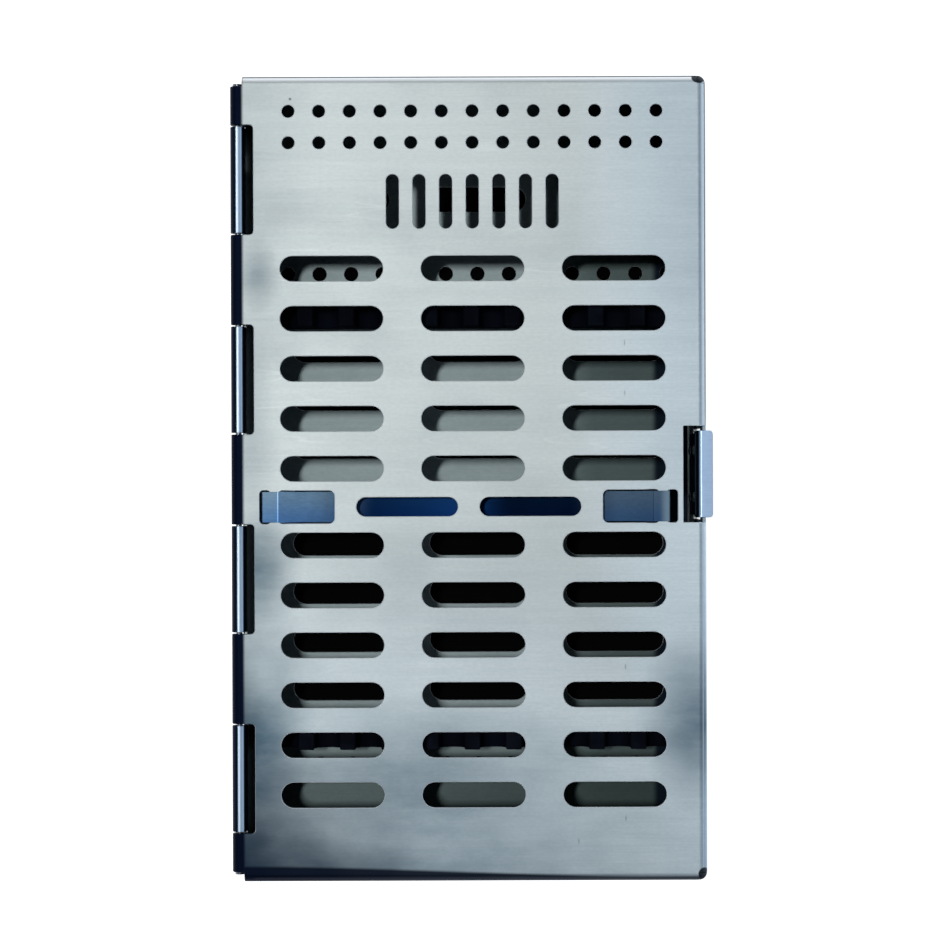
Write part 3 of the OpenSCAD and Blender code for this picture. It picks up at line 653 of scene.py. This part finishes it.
# %% Dress them all
SHEET_EDGE = 0.12
LEAF_EDGE = 0.05
dress("lid_panel", "lid_sheet", 0.15)
dress("base_pan", "pan_sheet", SHEET_EDGE)
dress("hold_down_spring", "hold_down_strip", 0.08)
dress("latch_lip", "latch_catch", SHEET_EDGE, 2, latch_steel)
dress("latch_blade", "latch_leaf", LEAF_EDGE, 1, latch_steel)
dress("latch_foot", "latch_root", LEAF_EDGE, 1, latch_steel)
dress("divider_wall", "bay_divider", SHEET_EDGE)
for rack in ("rear", "front"):
    dress(rack + "_rail", rack + "_channel", SHEET_EDGE)
    dress(rack + "_comb", rack + "_rubber_comb", 0.4, 3)

# %% [markdown]
# ## Closed corners
# Where two flanges meet at a corner on the latch side of the lid, a small pressed corner
# closes the gap. It could be cut from a ball and a tube, but the flange's own bend, spun a
# quarter turn about the corner's upright axis, meets both flanges by itself. It stops a degree
# or so short of each, so that a seam shows there, as it does on a real weld.

# %% Lid corners
BEND, SHEET = 2.0 * MM, 1.0 * MM
SEAM = math.radians(1.5)
QUARTER = math.pi / 2


def bend_line(shape, middle, radius, foot):
    """The bend from the lid's top down to the flange's foot, as one chain of edges."""
    start = bmesh.ops.create_vert(shape, co=middle + Vector((0, 0, radius)))["vert"]
    spun = bmesh.ops.spin(shape, geom=start, cent=middle, axis=(0, 1, 0), angle=QUARTER, steps=6)
    end = [part for part in spun["geom_last"] if isinstance(part, bmesh.types.BMVert)]
    down = bmesh.ops.extrude_vert_indiv(shape, verts=end)["verts"]
    bmesh.ops.translate(shape, verts=down, vec=(0, 0, foot - middle.z))


def pressed_corner(name, side):
    shape = bmesh.new()
    middle = Vector((lid_high.x - BEND, side * (lid_high.y - BEND), lid_high.z - BEND))
    bend_line(shape, middle, BEND, lid_low.z)
    bend_line(shape, middle, BEND - SHEET, lid_low.z)
    bmesh.ops.bridge_loops(shape, edges=shape.edges)
    bmesh.ops.rotate(shape, verts=shape.verts, cent=middle,
                     matrix=Matrix.Rotation(side * SEAM, 3, "Z"))
    bmesh.ops.spin(shape, geom=shape.verts[:] + shape.edges[:] + shape.faces[:], cent=middle,
                   axis=(0, 0, 1), angle=side * (QUARTER - 2 * SEAM), steps=8)
    bmesh.ops.remove_doubles(shape, verts=shape.verts, dist=WELD)
    bmesh.ops.recalc_face_normals(shape, faces=shape.faces)
    finish_piece(shape, name, "lid_panel", stands_in=False)


pressed_corner("rear_lid_corner", 1)
pressed_corner("front_lid_corner", -1)

# %% [markdown]
# ## Pin and rivets
# The pin and the rivets are small and round. They could be copied and bevelled like the rest,
# but at this distance nothing would change, so their CAD shape stays and only its material is
# exchanged.

# %% Parts that stay as they are
for node, cad in frame["nodes"].items():
    if not cad.hide_render:
        cad.data.materials.clear()
        cad.data.materials.append(FINISHES[SLOT[node]].material)
        print("kept", node)

# %% [markdown]
# ## The table
# A plain white table, bright enough to be paper white from any side. Right under the pan
# almost no light reaches it, so it is dark there, with a soft edge at the walls. That is why
# the floor's slots look black in the picture. Its own glow would shine through them, so the
# same mask dims both the paper and the glow.

# %% Table
NO_LIGHT = (0.0005, 0.0005, 0.001, 1)
PAPER = (0.86, 0.87, 0.87, 1)
WHITE = (1, 1, 1, 1)
BELOW_PAN = -0.3 * MM
table_finish = Finish("white_table")
across, along, _ = table_finish.axes(table_finish.place())
open_air = table_finish.span(abs(across), 0, 54.8, 59.2).above(
    table_finish.span(abs(along), 0, 96.2, 100.6))
table_finish.set(
    Base_Color=table_finish.tint(open_air, NO_LIGHT, PAPER),
    Emission_Color=table_finish.tint(open_air, BLACK, WHITE),
    Emission_Strength=0.82, Roughness=0.9, Specular_IOR_Level=0.1)
shape = bmesh.new()
bmesh.ops.create_grid(shape, x_segments=1, y_segments=1, size=8.0)
bmesh.ops.translate(shape, verts=shape.verts, vec=(0, 0, BELOW_PAN))
table_mesh = bpy.data.meshes.new("white_table")
shape.to_mesh(table_mesh)
shape.free()
table_mesh.materials.append(table_finish.material)
table = bpy.data.objects.new("white_table", table_mesh)
bpy.context.scene.collection.objects.link(table)
print("table", [round(value, 1) for value in table.dimensions])

# %% [markdown]
# ## The room
# Brushed steel shows what stands round it. The room is white at the table's level, so that the
# backdrop stays white, falls to a soft blue-grey higher up, bluest on the latch side, and is
# dark overhead. Large lamps could do the same, but each would leave a hard edge in the bends,
# and the room's smooth ramps leave none.

# %% Room
NEUTRAL = (1.0, 1.0, 1.0, 1)
COOL_WHITE = (0.88, 0.94, 1.0, 1)
SKY_BLUE = (0.60, 0.80, 1.0, 1)
world = bpy.data.worlds.new("studio_room")
bpy.context.scene.world = world
room = Graph(world, "Background")
towards_latch, _, rise = room.axes(room.place())
wall = room.tint(room.ramp(towards_latch, 0.0, 0.8), COOL_WHITE, SKY_BLUE)
wall = room.tint(room.ramp(rise, 0.12, 0.40), NEUTRAL, wall)
low_wall = room.ramp(rise, 0.10, 0.45, 1.05, 0.66)
ceiling = room.ramp(rise, 0.58, 0.82, 1.0, 0.04)
room.set(Color=wall, Strength=low_wall * ceiling)
bpy.context.scene.view_settings.view_transform = "Standard"
print("nodes of the room", len(world.node_tree.nodes))

# %% [markdown]
# ## The lamp
# One soft box high over the hinge side, a little towards the rear end, gives the lid its
# gradient, from pale at the rear to grey at the front. A sun would light it evenly. Seen from
# the lid the box is small, so the slots keep dark ends where the lid shades the pan's floor.

# %% Key lamp
LAMP_PLACE = Vector((-0.525, 0.22, 3.0))
LAMP_SIZE = (0.35, 0.14)
FACE_GLOW = 160.0
light = bpy.data.lights.new("key_lamp", "AREA")
light.shape = "RECTANGLE"
light.size, light.size_y = LAMP_SIZE
light.energy = FACE_GLOW * math.pi * LAMP_SIZE[0] * LAMP_SIZE[1]
light.color = (1.0, 1.0, 0.97)
lamp = bpy.data.objects.new("key_lamp", light)
lamp.location = LAMP_PLACE
lamp.rotation_euler = LAMP_PLACE.to_track_quat("Z", "Y").to_euler()
lamp.visible_camera = False
bpy.context.scene.collection.objects.link(lamp)
print("key lamp", round(light.energy, 2), "W")
